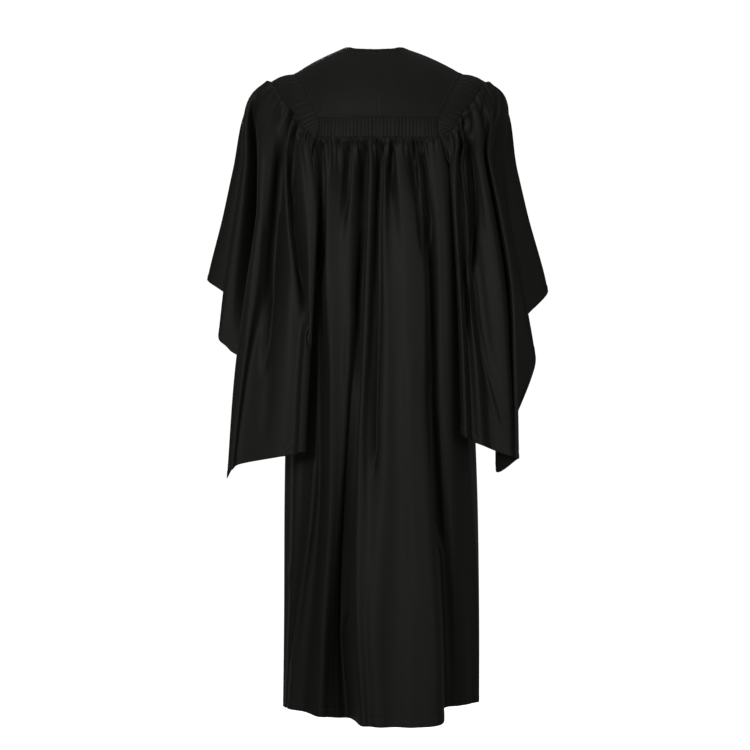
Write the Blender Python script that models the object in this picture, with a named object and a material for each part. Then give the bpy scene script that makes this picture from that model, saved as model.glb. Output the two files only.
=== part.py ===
"""An open black graduation gown, worn form, with a fluted back and pointed bell sleeves.

The cloth is a thin wall everywhere. The origin is the middle of the neck opening, the gown's
front faces -Y, its wearer's left is +X and +Z is up. Tables are in millimetres, meshes in metres.
Each panel hangs from its seam along fold lines: a table row gives where a ridge or a valley
starts on the seam, and how far out and back it lies at set heights down to the hem.
"""

import math

import bmesh
import bpy
import numpy as np

MM = 0.001
WALL = 1.5
SEAM_GAP = 0.45
RIGHT_WIDER = 8.0

# The stitched flutes of the bands, and the gathers that fade out below them.
FLUTES_BACK = 34
FLUTES_SLEEVE = 28
FLUTE_DEPTH = 0.9
BAND_CROWN = 1.2
HEAD_CROWN_SHARE = 0.07
HEAD_SEAM_FLUTES = 0.4
GATHERS_BACK = 24
GATHERS_SLEEVE = 20
GATHER_DEPTH_BACK = 2.0
GATHER_DEPTH_SLEEVE = 2.6
GATHER_FALL_BACK = 75.0
GATHER_FALL_SLEEVE = 80.0
GATHER_START = 12.0
SAMPLES_PER_RIPPLE = 3

BLACK = (0.0095, 0.0093, 0.0085, 1.0)
FLUTED_BLACK = (0.0080, 0.0080, 0.0075, 1.0)

# Stations round the wearer's left armhole, from the shoulder's top over the back, down to the
# underarm and up the front: the seam's x, y, z, and the fluted head's far edge from the seam.
# Below the fluted part the sleeve is sewn straight to the seam.
SLEEVE_SEAM_OUT = 1.9
ARMHOLE = (
    # x, y, z, out x, out y, out z
    (152, 0, -42, 44, -4, -14),
    (132, 62, -76, 43, -10, -14),
    (107, 103, -133, 30, -4, -13),
    (107, 114, -171, 6.5, 3.5, -2.5),
    (124, 104, -216, 0.5, 0.8, -0.3),
    (150, 64, -262, 0.8, 0.5, -0.4),
    (163, 0, -290, 0.75, 0.0, -0.66),
    (152, -62, -252, 0.8, -0.5, -0.4),
    (136, -94, -190, 0.5, -0.8, -0.3),
    (132, -92, -120, 18, -8, -6),
    (146, -50, -72, 38, -2, -14),
)
TOP, YOKE_CORNER, GATHER_CORNER, UNDERARM, FRONT_CORNER = 0, 2, 3, 6, 9
STATIONS = len(ARMHOLE)

# The yoke's neck edge, from its front end round to the middle of the back, and the crown of the
# cloth between that edge and the outer one. The crown rises away from the yoke's centre.
YOKE_FRONT_END = (62, -108, -119)
YOKE_NECK = (
    # neck x, y, z, crown
    (58, -84, -62, 2),
    (60, -60, -36, 5),
    (62, -30, -12, 6),
    (60, 4, 4, 4),
    (50, 38, 3, 7),
    (38, 54, -1, 9),
    (20, 63, -3, 9),
    (0, 66, -4, 9),
)
YOKE_FRONT_CORNER, YOKE_BACK_CORNER, YOKE_MIDDLE = 1, 5, 7
YOKE_CENTRE = (0.0, 0.0, -90.0)
CROWN_SIDEWAYS = 0.3
NECK_RIGHT_WIDER = -7.0

# Points across the back between the armholes, on the yoke's seam and on the gathered seam. Along
# the back's top edge, positions 0 to 3 follow the left armhole and 7 to 10 the right one.
BACK_LEFT_CORNER, BACK_RIGHT_CORNER, BACK_END = 3, 7, 10
BACK_SEAMS = (
    # x, y at the yoke's seam, z, y at the gathered seam, z
    (54, 117, -133, 122, -171),
    (-4, 121, -133, 127, -171),
    (-62, 117, -133, 122, -171),
)

BACK_LEVELS = (-230, -300, -375, -620, -850, -1080, -1240)
BACK_FOLDS = (
    # start, x at each level, y at each level, hem
    (0.0, (165, 165, 167, 168, 171, 172, 174), (0, 0, 0, 0, 0, 0, 0), -1223),
    (1.0, (150, 151, 151, 150, 155, 164, 170), (62, 62, 64, 68, 62, 40, 28), -1222),
    (1.9, (132, 132, 131, 130, 136, 154, 166), (90, 90, 92, 86, 76, 52, 36), -1221),
    (2.6, (112, 112, 112, 110, 117, 147, 160), (108, 106, 104, 104, 100, 78, 62), -1221),
    (3.1, (100, 100, 100, 100, 104, 124, 134), (112, 112, 108, 108, 96, 84, 72), -1224),
    (3.4, (88, 90, 92, 84, 86, 98, 106), (124, 127, 130, 132, 122, 112, 106), -1228),
    (3.95, (56, 62, 66, 64, 70, 82, 88), (112, 124, 131, 130, 116, 100, 98), -1230),
    (4.15, (44, 46, 48, 52, 64, 72, 70), (127, 132, 134, 130, 110, 90, 92), -1232),
    (4.45, (26, 28, 29, 42, 57, 60, 46), (111, 113, 116, 118, 100, 86, 94), -1233),
    (4.7, (11, 13, 15, 25, 38, 39, 28), (129, 133, 137, 142, 154, 180, 194), -1232),
    (5.0, (-4, 0, 2, 9, 15, 16, 10), (111, 114, 119, 131, 154, 184, 199), -1233),
    (5.2, (-15, -14, -13, -15, -11, -5, -8), (130, 134, 139, 150, 164, 188, 204), -1234),
    (5.38, (-27, -28, -29, -34, -38, -36, -36), (115, 126, 137, 148, 159, 181, 198), -1234),
    (5.58, (-39, -46, -53, -58, -66, -70, -70), (129, 136, 142, 152, 164, 187, 205), -1234),
    (5.78, (-56, -70, -80, -88, -102, -116, -119), (125, 132, 137, 144, 156, 176, 190), -1230),
    (5.95, (-70, -86, -97, -102, -115, -124, -125), (110, 112, 115, 118, 104, 92, 88), -1216),
    (6.6, (-104, -112, -116, -124, -138, -150, -154), (124, 126, 126, 126, 108, 84, 70), -1213),
    (7.2, (-132, -135, -138, -146, -158, -170, -174), (112, 115, 115, 110, 88, 56, 43), -1213),
    (8.8, (-158, -158, -160, -168, -180, -187, -188), (60, 62, 62, 60, 44, 20, 16), -1213),
    (10.0, (-173, -173, -175, -182, -190, -193, -193), (0, 0, 0, 0, 0, -4, -6), -1214),
)

# Along a front's top edge, positions 0 to 1 follow the yoke and 1 to 4 the armhole.
FRONT_END = 4
FRONT_LEVELS = (-200, -300, -620, -1000, -1240)
FRONT_FOLDS = (
    # start, x at each level, y at each level, hem
    (0.0, (62, 63, 68, 76, 80), (-120, -125, -128, -124, -120), -1232),
    (0.35, (84, 84, 88, 96, 102), (-120, -126, -134, -140, -144), -1231),
    (0.65, (104, 104, 104, 112, 118), (-112, -110, -108, -104, -102), -1230),
    (1.0, (124, 122, 120, 130, 136), (-106, -112, -118, -120, -120), -1229),
    (2.0, (142, 140, 140, 147, 152), (-84, -86, -78, -72, -70), -1227),
    (3.0, (152, 154, 156, 162, 166), (-60, -62, -60, -56, -54), -1225),
)

SLEEVE_LEVELS = (-220, -300, -430, -600, -780)
LEFT_SLEEVE = (
    # start, x at each level, y at each level, hem
    (0.0, (253, 264, 283, 300, 306), (-8, -5, 0, 6, 10), -530),
    (0.3, (214, 221, 232, 236, 240), (20, 24, 30, 32, 32), -606),
    (0.6, (229, 232, 244, 259, 271), (58, 68, 80, 88, 95), -780),
    (0.95, (205, 209, 219, 244, 263), (88, 98, 106, 110, 110), -777),
    (1.4, (180, 185, 194, 230, 250), (78, 84, 90, 98, 104), -767),
    (1.65, (168, 164, 158, 168, 185), (100, 114, 124, 132, 133), -754),
    (1.85, (156, 151, 134, 142, 152), (96, 106, 120, 136, 138), -749),
    (2.3, (136, 128, 122, 132, 140), (118, 130, 141, 149, 149), -744),
    (3.0, (112, 108, 111, 122, 130), (115, 126, 134, 138, 138), -740),
    (3.8, (130, 132, 138, 150, 156), (98, 102, 104, 108, 110), -705),
    (5.0, (170, 174, 182, 188, 192), (74, 78, 84, 88, 88), -620),
    (6.0, (182, 186, 192, 194, 196), (4, 6, 10, 14, 16), -505),
    (7.0, (170, 176, 188, 192, 194), (-58, -60, -60, -56, -54), -425),
    (8.0, (150, 160, 174, 182, 184), (-112, -122, -128, -128, -128), -396),
    (8.8, (176, 186, 198, 206, 210), (-102, -106, -108, -108, -108), -386),
    (9.4, (204, 217, 232, 242, 246), (-116, -126, -132, -132, -132), -388),
    (9.85, (224, 238, 256, 268, 272), (-88, -93, -96, -96, -96), -398),
    (10.2, (248, 266, 292, 308, 312), (-82, -92, -100, -100, -100), -412),
    (10.55, (269, 287, 320, 338, 342), (-50, -56, -62, -62, -62), -424),
    (10.8, (236, 250, 271, 284, 288), (-30, -32, -34, -34, -34), -464),
)
RIGHT_SLEEVE = (
    # start, x at each level, y at each level, hem
    (0.0, (242, 250, 272, 300, 308), (-6, -2, 4, 8, 10), -582),
    (0.3, (198, 206, 214, 220, 222), (22, 26, 32, 34, 36), -774),
    (0.6, (212, 228, 242, 253, 258), (60, 70, 80, 86, 88), -758),
    (0.95, (190, 200, 218, 234, 244), (90, 100, 108, 112, 112), -752),
    (1.4, (166, 172, 180, 200, 214), (80, 88, 96, 108, 112), -740),
    (1.65, (160, 164, 170, 184, 196), (102, 116, 124, 130, 130), -732),
    (1.85, (152, 154, 160, 170, 178), (100, 110, 118, 124, 126), -725),
    (2.3, (144, 146, 152, 160, 166), (120, 131, 139, 143, 143), -718),
    (3.0, (134, 138, 146, 152, 156), (112, 123, 129, 131, 131), -710),
    (3.8, (150, 154, 158, 164, 170), (96, 98, 100, 104, 106), -700),
    (5.0, (178, 182, 188, 196, 202), (50, 52, 54, 56, 56), -640),
    (6.0, (190, 196, 202, 208, 210), (4, 6, 8, 10, 10), -520),
    (7.0, (178, 184, 196, 204, 208), (-58, -60, -62, -60, -60), -430),
    (8.0, (158, 168, 182, 190, 194), (-112, -120, -126, -126, -126), -400),
    (8.8, (184, 196, 208, 218, 222), (-104, -110, -112, -112, -112), -392),
    (9.4, (212, 226, 242, 256, 260), (-116, -126, -134, -134, -134), -396),
    (9.85, (232, 246, 262, 278, 282), (-88, -92, -94, -94, -94), -406),
    (10.2, (252, 272, 300, 326, 330), (-80, -90, -98, -98, -98), -424),
    (10.55, (269, 287, 322, 344, 348), (-50, -56, -62, -62, -62), -448),
    (10.8, (228, 234, 258, 276, 280), (-28, -30, -32, -32, -32), -516),
)

# Shares of the way down at which each panel has a row of points. A fold line leaves its seam
# freely, and a row's drift from the seam's own curve is gone after the seam share.
BACK_ROWS = (0, 0.012, 0.035, 0.07, 0.12, 0.2, 0.33, 0.5, 0.67, 0.84, 1)
FRONT_ROWS = (0, 0.05, 0.12, 0.22, 0.36, 0.52, 0.68, 0.84, 1)
HEAD_SHARE = 0.26
SLEEVE_ROWS = (0, 0.03, 0.08, 0.16, HEAD_SHARE, 0.4, 0.58, 0.79, 1)
BAND_ROWS = (0, 0.5, 1)
YOKE_ROWS = (0, 0.2, 0.4, 0.6, 0.8, 1)
BACK_SEAM_SHARE = 0.06
FRONT_SEAM_SHARE = 0.1
SLEEVE_SEAM_SHARE = 0.08
SEAM_CLEARANCE = 24.0
HEAD_PULL = 0.42
HEAD_DROOP = 1.6
DROOP_STATIONS = 1.5
FOOT_STEP = 20.0

ARMHOLE_COLUMNS = 4
YOKE_SEAM_COLUMNS = 5
FRONT_SEAM_COLUMNS = 7
BAND_SIDE_GAP = 1.6
HEAD_END_GAP = 0.03
HEAD_SEAM_GAP = 0.72
NEARBY = 0.02


def smooth(value):
    """0 below 0, 1 above 1, and an even rise between."""
    value = min(max(value, 0.0), 1.0)
    return value * value * (3 - 2 * value)


def curve_point(points, position, closed=False):
    """The point at a position on the smooth curve through points, which lie at whole positions."""
    count = len(points)
    start = math.floor(position)
    if not closed:
        start = min(max(start, 0), count - 2)
    picks = [start - 1, start, start + 1, start + 2]
    if closed:
        picks = [pick % count for pick in picks]
    else:
        picks = [min(max(pick, 0), count - 1) for pick in picks]
    before, here, there, after = (np.asarray(points[pick], float) for pick in picks)
    t = position - start
    return 0.5 * (
        2 * here
        + (there - before) * t
        + (2 * before - 5 * here + 4 * there - after) * t**2
        + (3 * here - before - 3 * there + after) * t**3
    )


def mirrored(point):
    """A point of the left half on the right half, which hangs a little wider."""
    return np.array([-(point[0] + RIGHT_WIDER), point[1], point[2]])


def armhole_seam(side, station):
    """A point on the seam round an armhole."""
    point = curve_point([row[:3] for row in ARMHOLE], station, closed=True)
    return point if side == "left" else mirrored(point)


def head_out(index):
    """From one station of the seam to the fluted head's far edge, or to the sleeve's own edge."""
    out = np.array(ARMHOLE[index % STATIONS][3:], float)
    if GATHER_CORNER < index % STATIONS < FRONT_CORNER:
        out *= SLEEVE_SEAM_OUT / np.linalg.norm(out)
    return out


def head_edge(side, station):
    """A point where the sleeve's cloth leaves the fluted head, or the seam below it."""
    index = math.floor(station)
    share = smooth(station - index)
    out = head_out(index) * (1 - share) + head_out(index + 1) * share
    point = curve_point([row[:3] for row in ARMHOLE], station, closed=True) + out
    return point if side == "left" else mirrored(point)


def back_seam(drop, position):
    """A point across the back, from the left armhole at 0 to the right at 4.

    drop is 0 at the yoke's seam and 1 at the gathered seam.
    """
    station = YOKE_CORNER + drop * (GATHER_CORNER - YOKE_CORNER)
    middle = [
        (x, y0 + (y1 - y0) * drop, z0 + (z1 - z0) * drop) for x, y0, z0, y1, z1 in BACK_SEAMS
    ]
    points = [armhole_seam("left", station), *middle, armhole_seam("right", station)]
    return curve_point(points, position)


def back_top(position):
    """A point of the back's top edge: left armhole, gathered seam, right armhole."""
    if position < BACK_LEFT_CORNER:
        return armhole_seam("left", UNDERARM - position)
    if position > BACK_RIGHT_CORNER:
        return armhole_seam("right", position - BACK_RIGHT_CORNER + GATHER_CORNER)
    return back_seam(1, position - BACK_LEFT_CORNER)


def front_top(side, position):
    """A front's top edge: the yoke's seam 0 to 1, then the armhole down to the underarm."""
    if position > 1:
        return armhole_seam(side, FRONT_CORNER - (position - 1))
    end = np.array(YOKE_FRONT_END, float)
    if side == "right":
        end = mirrored(end)
    return end + (armhole_seam(side, FRONT_CORNER) - end) * position


def hanging_line(top, levels, xs, ys, sign=1):
    """Rows of z, x, y down one fold line, from its start on the seam to the lowest level.

    Levels too close below the seam are left out. sign is -1 for a right-hand line.
    """
    rows = [(top[2], top[0], top[1])]
    for z, x, y in zip(levels, xs, ys):
        if z < top[2] - SEAM_CLEARANCE:
            rows.append((z, sign * x, y))
    return np.array(rows, float)


def at_height(line, height):
    """The point of a fold line at a height, with even slopes through its rows."""
    z = line[:, 0]
    slopes = np.gradient(line[:, 1:], z, axis=0)
    index = int(np.clip(np.searchsorted(-z, -height) - 1, 0, len(z) - 2))
    span = z[index + 1] - z[index]
    t = min(max((height - z[index]) / span, 0.0), 1.0)
    near, far = line[index, 1:], line[index + 1, 1:]
    xy = (
        near * (1 + 2 * t) * (1 - t) ** 2
        + slopes[index] * span * t * (1 - t) ** 2
        + far * t * t * (3 - 2 * t)
        + slopes[index + 1] * span * t * t * (t - 1)
    )
    return np.array([xy[0], xy[1], height])


def outward(points, index, closed):
    """The horizontal direction out of the cloth at one point of a row."""
    count = len(points)
    after = points[(index + 1) % count] if closed or index + 1 < count else points[index]
    before = points[index - 1] if closed or index > 0 else points[index]
    along = after - before
    across = np.array([-along[1], along[0], 0.0])
    return across / max(np.linalg.norm(across), 1e-6)


def ripple(position, start, end, count, drop, depth, reach):
    """How far a gather stands out, at a distance below the seam, growing and then fading."""
    if not start <= position <= end:
        return 0.0
    phase = (position - start) / (end - start)
    length = reach * (1 + 0.35 * math.sin(17 * phase) + 0.25 * math.sin(41 * phase + 1))
    swell = smooth(drop / GATHER_START) * (1 - smooth((drop - GATHER_START) / length))
    edge = smooth(phase * 20) * smooth((1 - phase) * 20)
    uneven = 1 + 0.3 * math.sin(29 * phase + 2)
    return depth * uneven * swell * edge * math.cos(2 * math.pi * count * phase)


def flute(position, start, end, count):
    """How far a stitched flute stands out."""
    return FLUTE_DEPTH * math.cos(2 * math.pi * count * (position - start) / (end - start))


def back_grid():
    """Rows of the back's points, from the seam down to the hem."""
    columns = np.concatenate([
        np.linspace(0, BACK_LEFT_CORNER, 3 * ARMHOLE_COLUMNS, endpoint=False),
        np.linspace(
            BACK_LEFT_CORNER, BACK_RIGHT_CORNER, GATHERS_BACK * SAMPLES_PER_RIPPLE, endpoint=False
        ),
        np.linspace(BACK_RIGHT_CORNER, BACK_END, 3 * ARMHOLE_COLUMNS + 1),
    ])
    starts = [fold[0] for fold in BACK_FOLDS]
    tops = [back_top(start) for start in starts]
    lines = []
    for top, (_, xs, ys, _) in zip(tops, BACK_FOLDS):
        lines.append(hanging_line(top, BACK_LEVELS, xs, ys))
    ranks = np.interp(columns, starts, range(len(starts)))
    grid = []
    for share in BACK_ROWS:
        knots = []
        for top, line, fold in zip(tops, lines, BACK_FOLDS):
            knots.append(at_height(line, top[2] + (fold[3] - top[2]) * share))
        row = [curve_point(knots, rank) for rank in ranks]
        near_seam = 1 - smooth(share / BACK_SEAM_SHARE)
        for index, (column, rank) in enumerate(zip(columns, ranks)):
            drift = back_top(column) - curve_point(tops, rank)
            row[index] = row[index] + drift * near_seam
        shaped = []
        for index, column in enumerate(columns):
            drop = back_top(column)[2] - row[index][2]
            lift = ripple(
                column, BACK_LEFT_CORNER, BACK_RIGHT_CORNER, GATHERS_BACK, drop,
                GATHER_DEPTH_BACK, GATHER_FALL_BACK,
            )
            shaped.append(row[index] - outward(row, index, False) * lift)
        grid.append(shaped)
    for index in range(len(columns)):
        grid[0][index] = grid[0][index] - np.array([0, 0, SEAM_GAP])
    return grid


def side_seam(side):
    """The side seam's line, which the back and the front share."""
    fold = BACK_FOLDS[0] if side == "left" else BACK_FOLDS[-1]
    return hanging_line(armhole_seam(side, UNDERARM), BACK_LEVELS, fold[1], fold[2])


def front_grid(side):
    """Rows of a front's points, from the seam down to the hem."""
    columns = np.concatenate([
        np.linspace(0, 1, FRONT_SEAM_COLUMNS, endpoint=False),
        np.linspace(1, FRONT_END, 3 * ARMHOLE_COLUMNS + 1),
    ])
    seam, left_seam = side_seam(side), side_seam("left")
    spread = [at_height(seam, z)[0] / at_height(left_seam, z)[0] for z in FRONT_LEVELS]
    starts, tops, lines, hems = [], [], [], []
    for start, xs, ys, hem in FRONT_FOLDS:
        top = front_top(side, start)
        starts.append(start)
        tops.append(top)
        wide = [x * ratio for x, ratio in zip(xs, spread)]
        lines.append(hanging_line(top, FRONT_LEVELS, wide, ys))
        hems.append(hem)
    starts.append(FRONT_END)
    tops.append(front_top(side, FRONT_END))
    lines.append(seam)
    hems.append(BACK_FOLDS[0][3] if side == "left" else BACK_FOLDS[-1][3])
    ranks = np.interp(columns, starts, range(len(starts)))
    grid = []
    for share in FRONT_ROWS:
        knots = []
        for top, line, hem in zip(tops, lines, hems):
            knots.append(at_height(line, top[2] + (hem - top[2]) * share))
        near_seam = 1 - smooth(share / FRONT_SEAM_SHARE)
        row = []
        for column, rank in zip(columns, ranks):
            drift = front_top(side, column) - curve_point(tops, rank)
            row.append(curve_point(knots, rank) + drift * near_seam)
        row[-1] = row[-1] - np.array([0, 2 * SEAM_GAP, 0])
        grid.append(row)
    for index in range(len(columns)):
        grid[0][index] = grid[0][index] - np.array([0, 0, SEAM_GAP])
    return grid


def head_curve(edge, out, line, height, share):
    """A point between the head's edge and a height below: out of the seam first, then down."""
    foot = at_height(line, height)
    below = at_height(line, height - FOOT_STEP)
    pull = np.linalg.norm(foot - edge) * HEAD_PULL
    first = edge + out * pull
    last = foot + (foot - below) / FOOT_STEP * pull
    rest = 1 - share
    return (
        edge * rest**3
        + 3 * first * share * rest**2
        + 3 * last * share**2 * rest
        + foot * share**3
    )


def sleeve_grid(side, folds):
    """Rings of a sleeve's points, from the head's edge down to the hem."""
    sign = 1 if side == "left" else -1
    start, end = FRONT_CORNER, STATIONS + GATHER_CORNER
    lower = FRONT_CORNER - GATHER_CORNER
    columns = np.concatenate([
        np.linspace(start, end, GATHERS_SLEEVE * SAMPLES_PER_RIPPLE, endpoint=False),
        np.linspace(end, end + lower, lower * ARMHOLE_COLUMNS, endpoint=False),
    ])
    starts = [fold[0] for fold in folds]
    looped = [*starts, starts[0] + STATIONS]
    ranks = np.interp(columns % STATIONS, looped, range(len(looped)))
    edges, outs, lines, feet = [], [], [], []
    for place, xs, ys, _ in folds:
        edge = head_edge(side, place)
        out = edge - armhole_seam(side, place)
        out /= np.linalg.norm(out)
        if place < UNDERARM:
            out[2] -= HEAD_DROOP * smooth(place / DROOP_STATIONS)
        line = hanging_line(edge, SLEEVE_LEVELS, xs, ys, sign)
        edges.append(edge)
        outs.append(out / np.linalg.norm(out))
        feet.append(line[1, 0])
        lines.append(line[1:] if len(line) > 2 else line)
    grid = []
    for share in SLEEVE_ROWS:
        knots = []
        for edge, out, line, foot, fold in zip(edges, outs, lines, feet, folds):
            if share <= HEAD_SHARE:
                knots.append(head_curve(edge, out, line, foot, share / HEAD_SHARE))
            else:
                fall = (share - HEAD_SHARE) / (1 - HEAD_SHARE)
                knots.append(at_height(line, foot + (fold[3] - foot) * fall))
        near_seam = 1 - smooth(share / SLEEVE_SEAM_SHARE)
        row = []
        for column, rank in zip(columns, ranks):
            drift = head_edge(side, column) - curve_point(edges, rank, closed=True)
            row.append(curve_point(knots, rank, closed=True) + drift * near_seam)
        grid.append(row)
    tops = [head_edge(side, column) for column in columns]
    for number, row in enumerate(grid):
        shaped = []
        for index, column in enumerate(columns):
            drop = np.linalg.norm(row[index] - tops[index])
            lift = ripple(
                column, start, end, GATHERS_SLEEVE, drop, GATHER_DEPTH_SLEEVE, GATHER_FALL_SLEEVE
            )
            shaped.append(row[index] + sign * outward(row, index, True) * lift)
        grid[number] = shaped
    return grid


def back_band_grid():
    """Rows of the fluted band's points between the yoke and the gathered seam."""
    end = BACK_RIGHT_CORNER - BACK_LEFT_CORNER
    columns = np.linspace(0, end, FLUTES_BACK * SAMPLES_PER_RIPPLE + 1)
    grid = []
    for share in BAND_ROWS:
        crown = BAND_CROWN * math.sin(math.pi * share)
        inset = (share - 0.5) * 2 * SEAM_GAP
        row = []
        for column in columns:
            lift = crown + flute(column, 0, end, FLUTES_BACK)
            row.append(back_seam(share, column) + np.array([0, lift, inset]))
        row[0] = row[0] - np.array([BAND_SIDE_GAP, 0, 0])
        row[-1] = row[-1] + np.array([BAND_SIDE_GAP, 0, 0])
        grid.append(row)
    return grid


def sleeve_band_grid(side):
    """Rows of the fluted head's points between the armhole's seam and the sleeve."""
    start, end = FRONT_CORNER, STATIONS + GATHER_CORNER
    columns = np.linspace(
        start + HEAD_END_GAP, end - HEAD_END_GAP, FLUTES_SLEEVE * SAMPLES_PER_RIPPLE + 1
    )
    middle = armhole_seam(side, TOP)
    grid = [[] for _ in BAND_ROWS]
    for column in columns:
        seam = armhole_seam(side, column)
        edge = head_edge(side, column)
        across = edge - seam
        width = np.linalg.norm(across)
        across /= width
        along = armhole_seam(side, column + NEARBY) - armhole_seam(side, column - NEARBY)
        lift_way = np.cross(along, across)
        lift_way /= np.linalg.norm(lift_way)
        if lift_way[2] + lift_way[1] * np.sign(seam[1] - middle[1]) < 0:
            lift_way = -lift_way
        raised = flute(column, start, end, FLUTES_SLEEVE)
        for row, share in zip(grid, BAND_ROWS):
            crown = width * HEAD_CROWN_SHARE * math.sin(math.pi * share)
            reach = min(max(width * share, HEAD_SEAM_GAP), width - HEAD_SEAM_GAP)
            flattened = 1 - abs(1 - 2 * share) * (1 - HEAD_SEAM_FLUTES)
            row.append(seam + across * reach + lift_way * (crown + raised * flattened))
    return grid


def yoke_grid():
    """Rows of the yoke's points, from the neck's edge out to its seams."""
    edge, neck, crowns = [], [], []
    ranks = range(len(YOKE_NECK))
    for side in ("left", "right"):
        wider = 0 if side == "left" else NECK_RIGHT_WIDER
        sign = 1 if side == "left" else -1
        necks = [(sign * (x + (wider if x else 0)), y, z) for x, y, z, _ in YOKE_NECK]
        crown_row = [row[3] for row in YOKE_NECK]
        steps = [*np.linspace(0, YOKE_FRONT_CORNER, YOKE_SEAM_COLUMNS, endpoint=False)]
        steps += [
            *np.linspace(YOKE_FRONT_CORNER, YOKE_BACK_CORNER, 4 * ARMHOLE_COLUMNS, endpoint=False)
        ]
        steps += [
            *np.linspace(YOKE_BACK_CORNER, YOKE_MIDDLE, 2 * YOKE_SEAM_COLUMNS, endpoint=False)
        ]
        if side == "left":
            steps.append(YOKE_MIDDLE)
        half_edge, half_neck, half_crown = [], [], []
        for step in steps:
            if step < YOKE_FRONT_CORNER:
                point = front_top(side, step)
            elif step <= YOKE_BACK_CORNER:
                point = armhole_seam(side, step - YOKE_FRONT_CORNER + FRONT_CORNER)
            else:
                across = step - YOKE_BACK_CORNER
                end = BACK_RIGHT_CORNER - BACK_LEFT_CORNER
                point = back_seam(0, across if side == "left" else end - across)
            half_edge.append(point)
            half_neck.append(curve_point(necks, step))
            half_crown.append(np.interp(step, ranks, crown_row))
        if side == "right":
            half_edge.reverse()
            half_neck.reverse()
            half_crown.reverse()
        edge += half_edge
        neck += half_neck
        crowns += half_crown
    grid = []
    for share in YOKE_ROWS:
        rise = math.sin(math.pi * share)
        row = []
        for outer, inner, crown in zip(edge, neck, crowns):
            middle = (outer + inner) / 2
            lift_way = (middle - np.array(YOKE_CENTRE)) * np.array([CROWN_SIDEWAYS, 1, 1])
            lift_way /= np.linalg.norm(lift_way)
            width = np.linalg.norm(outer - inner)
            reached = share * (1 - SEAM_GAP / width)
            row.append(inner + (outer - inner) * reached + lift_way * crown * rise)
        grid.append(row)
    return grid


def black_cloth(name, colour, roughness):
    """A black woven cloth's material."""
    material = bpy.data.materials.new(name)
    material.use_nodes = True
    shader = material.node_tree.nodes["Principled BSDF"]
    shader.inputs["Base Color"].default_value = colour
    shader.inputs["Roughness"].default_value = roughness
    shader.inputs["Metallic"].default_value = 0.0
    shader.inputs["Sheen Weight"].default_value = 0.2
    material.diffuse_color = colour
    return material


def make_panel(name, grid, material, closed=False, flip=False):
    """One panel of cloth: a sheet through the grid's points, given its wall by Solidify."""
    sheet = bmesh.new()
    rows = [[sheet.verts.new(point * MM) for point in row] for row in grid]
    count = len(rows[0])
    for upper, lower in zip(rows, rows[1:]):
        for index in range(count if closed else count - 1):
            after = (index + 1) % count
            corners = [upper[index], upper[after], lower[after], lower[index]]
            sheet.faces.new(corners[::-1] if flip else corners)
    bmesh.ops.triangulate(sheet, faces=sheet.faces[:])
    mesh = bpy.data.meshes.new(name)
    sheet.to_mesh(mesh)
    sheet.free()
    mesh.materials.append(material)
    mesh.shade_smooth()
    panel = bpy.data.objects.new(name, mesh)
    bpy.context.collection.objects.link(panel)
    wall = panel.modifiers.new("wall", "SOLIDIFY")
    wall.thickness = WALL * MM
    wall.offset = 0.0
    return panel


def make_gown():
    """All the gown's panels."""
    cloth = black_cloth("black_cloth", BLACK, 0.55)
    fluting = black_cloth("fluted_cloth", FLUTED_BLACK, 0.62)
    make_panel("yoke", yoke_grid(), cloth, flip=True)
    make_panel("back_fluting", back_band_grid(), fluting, flip=True)
    make_panel("back", back_grid(), cloth, flip=True)
    for side, folds in (("left", LEFT_SLEEVE), ("right", RIGHT_SLEEVE)):
        right = side == "right"
        make_panel(f"front_{side}", front_grid(side), cloth, flip=not right)
        make_panel(f"sleeve_{side}_fluting", sleeve_band_grid(side), fluting, flip=right)
        make_panel(f"sleeve_{side}", sleeve_grid(side, folds), cloth, closed=True, flip=right)


for old in list(bpy.data.objects):
    bpy.data.objects.remove(old)
make_gown()
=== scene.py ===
"""The looks of an open black graduation gown, in worn form, seen from behind.

Tables are in millimetres. Each panel is a thin sheet of black polyester that hangs from its seam
along the same fold lines as its solid, with the finer gathers, creases, hems and stitches.
"""

import math

import bmesh
import bpy
import mathutils
import numpy as np
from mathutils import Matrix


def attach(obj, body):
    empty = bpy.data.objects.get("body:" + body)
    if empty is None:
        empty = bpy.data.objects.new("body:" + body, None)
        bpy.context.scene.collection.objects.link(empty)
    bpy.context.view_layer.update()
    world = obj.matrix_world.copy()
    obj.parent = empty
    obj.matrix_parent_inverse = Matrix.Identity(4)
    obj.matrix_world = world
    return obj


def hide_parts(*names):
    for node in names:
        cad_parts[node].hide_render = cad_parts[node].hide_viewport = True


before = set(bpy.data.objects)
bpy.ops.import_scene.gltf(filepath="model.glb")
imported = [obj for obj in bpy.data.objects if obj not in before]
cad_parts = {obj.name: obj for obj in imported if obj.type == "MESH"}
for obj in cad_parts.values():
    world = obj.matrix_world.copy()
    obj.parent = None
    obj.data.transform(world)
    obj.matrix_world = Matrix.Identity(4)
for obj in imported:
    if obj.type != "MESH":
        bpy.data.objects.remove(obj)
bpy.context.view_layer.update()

MM = 0.001


# The yoke: a flat doubled panel over both shoulders, open in front and seamed down the middle
# of the back. Everything else hangs from its edges, so the seams' own places start here.
# It is cut from black polyester, turned in at the neck and topstitched along its seams.

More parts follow.
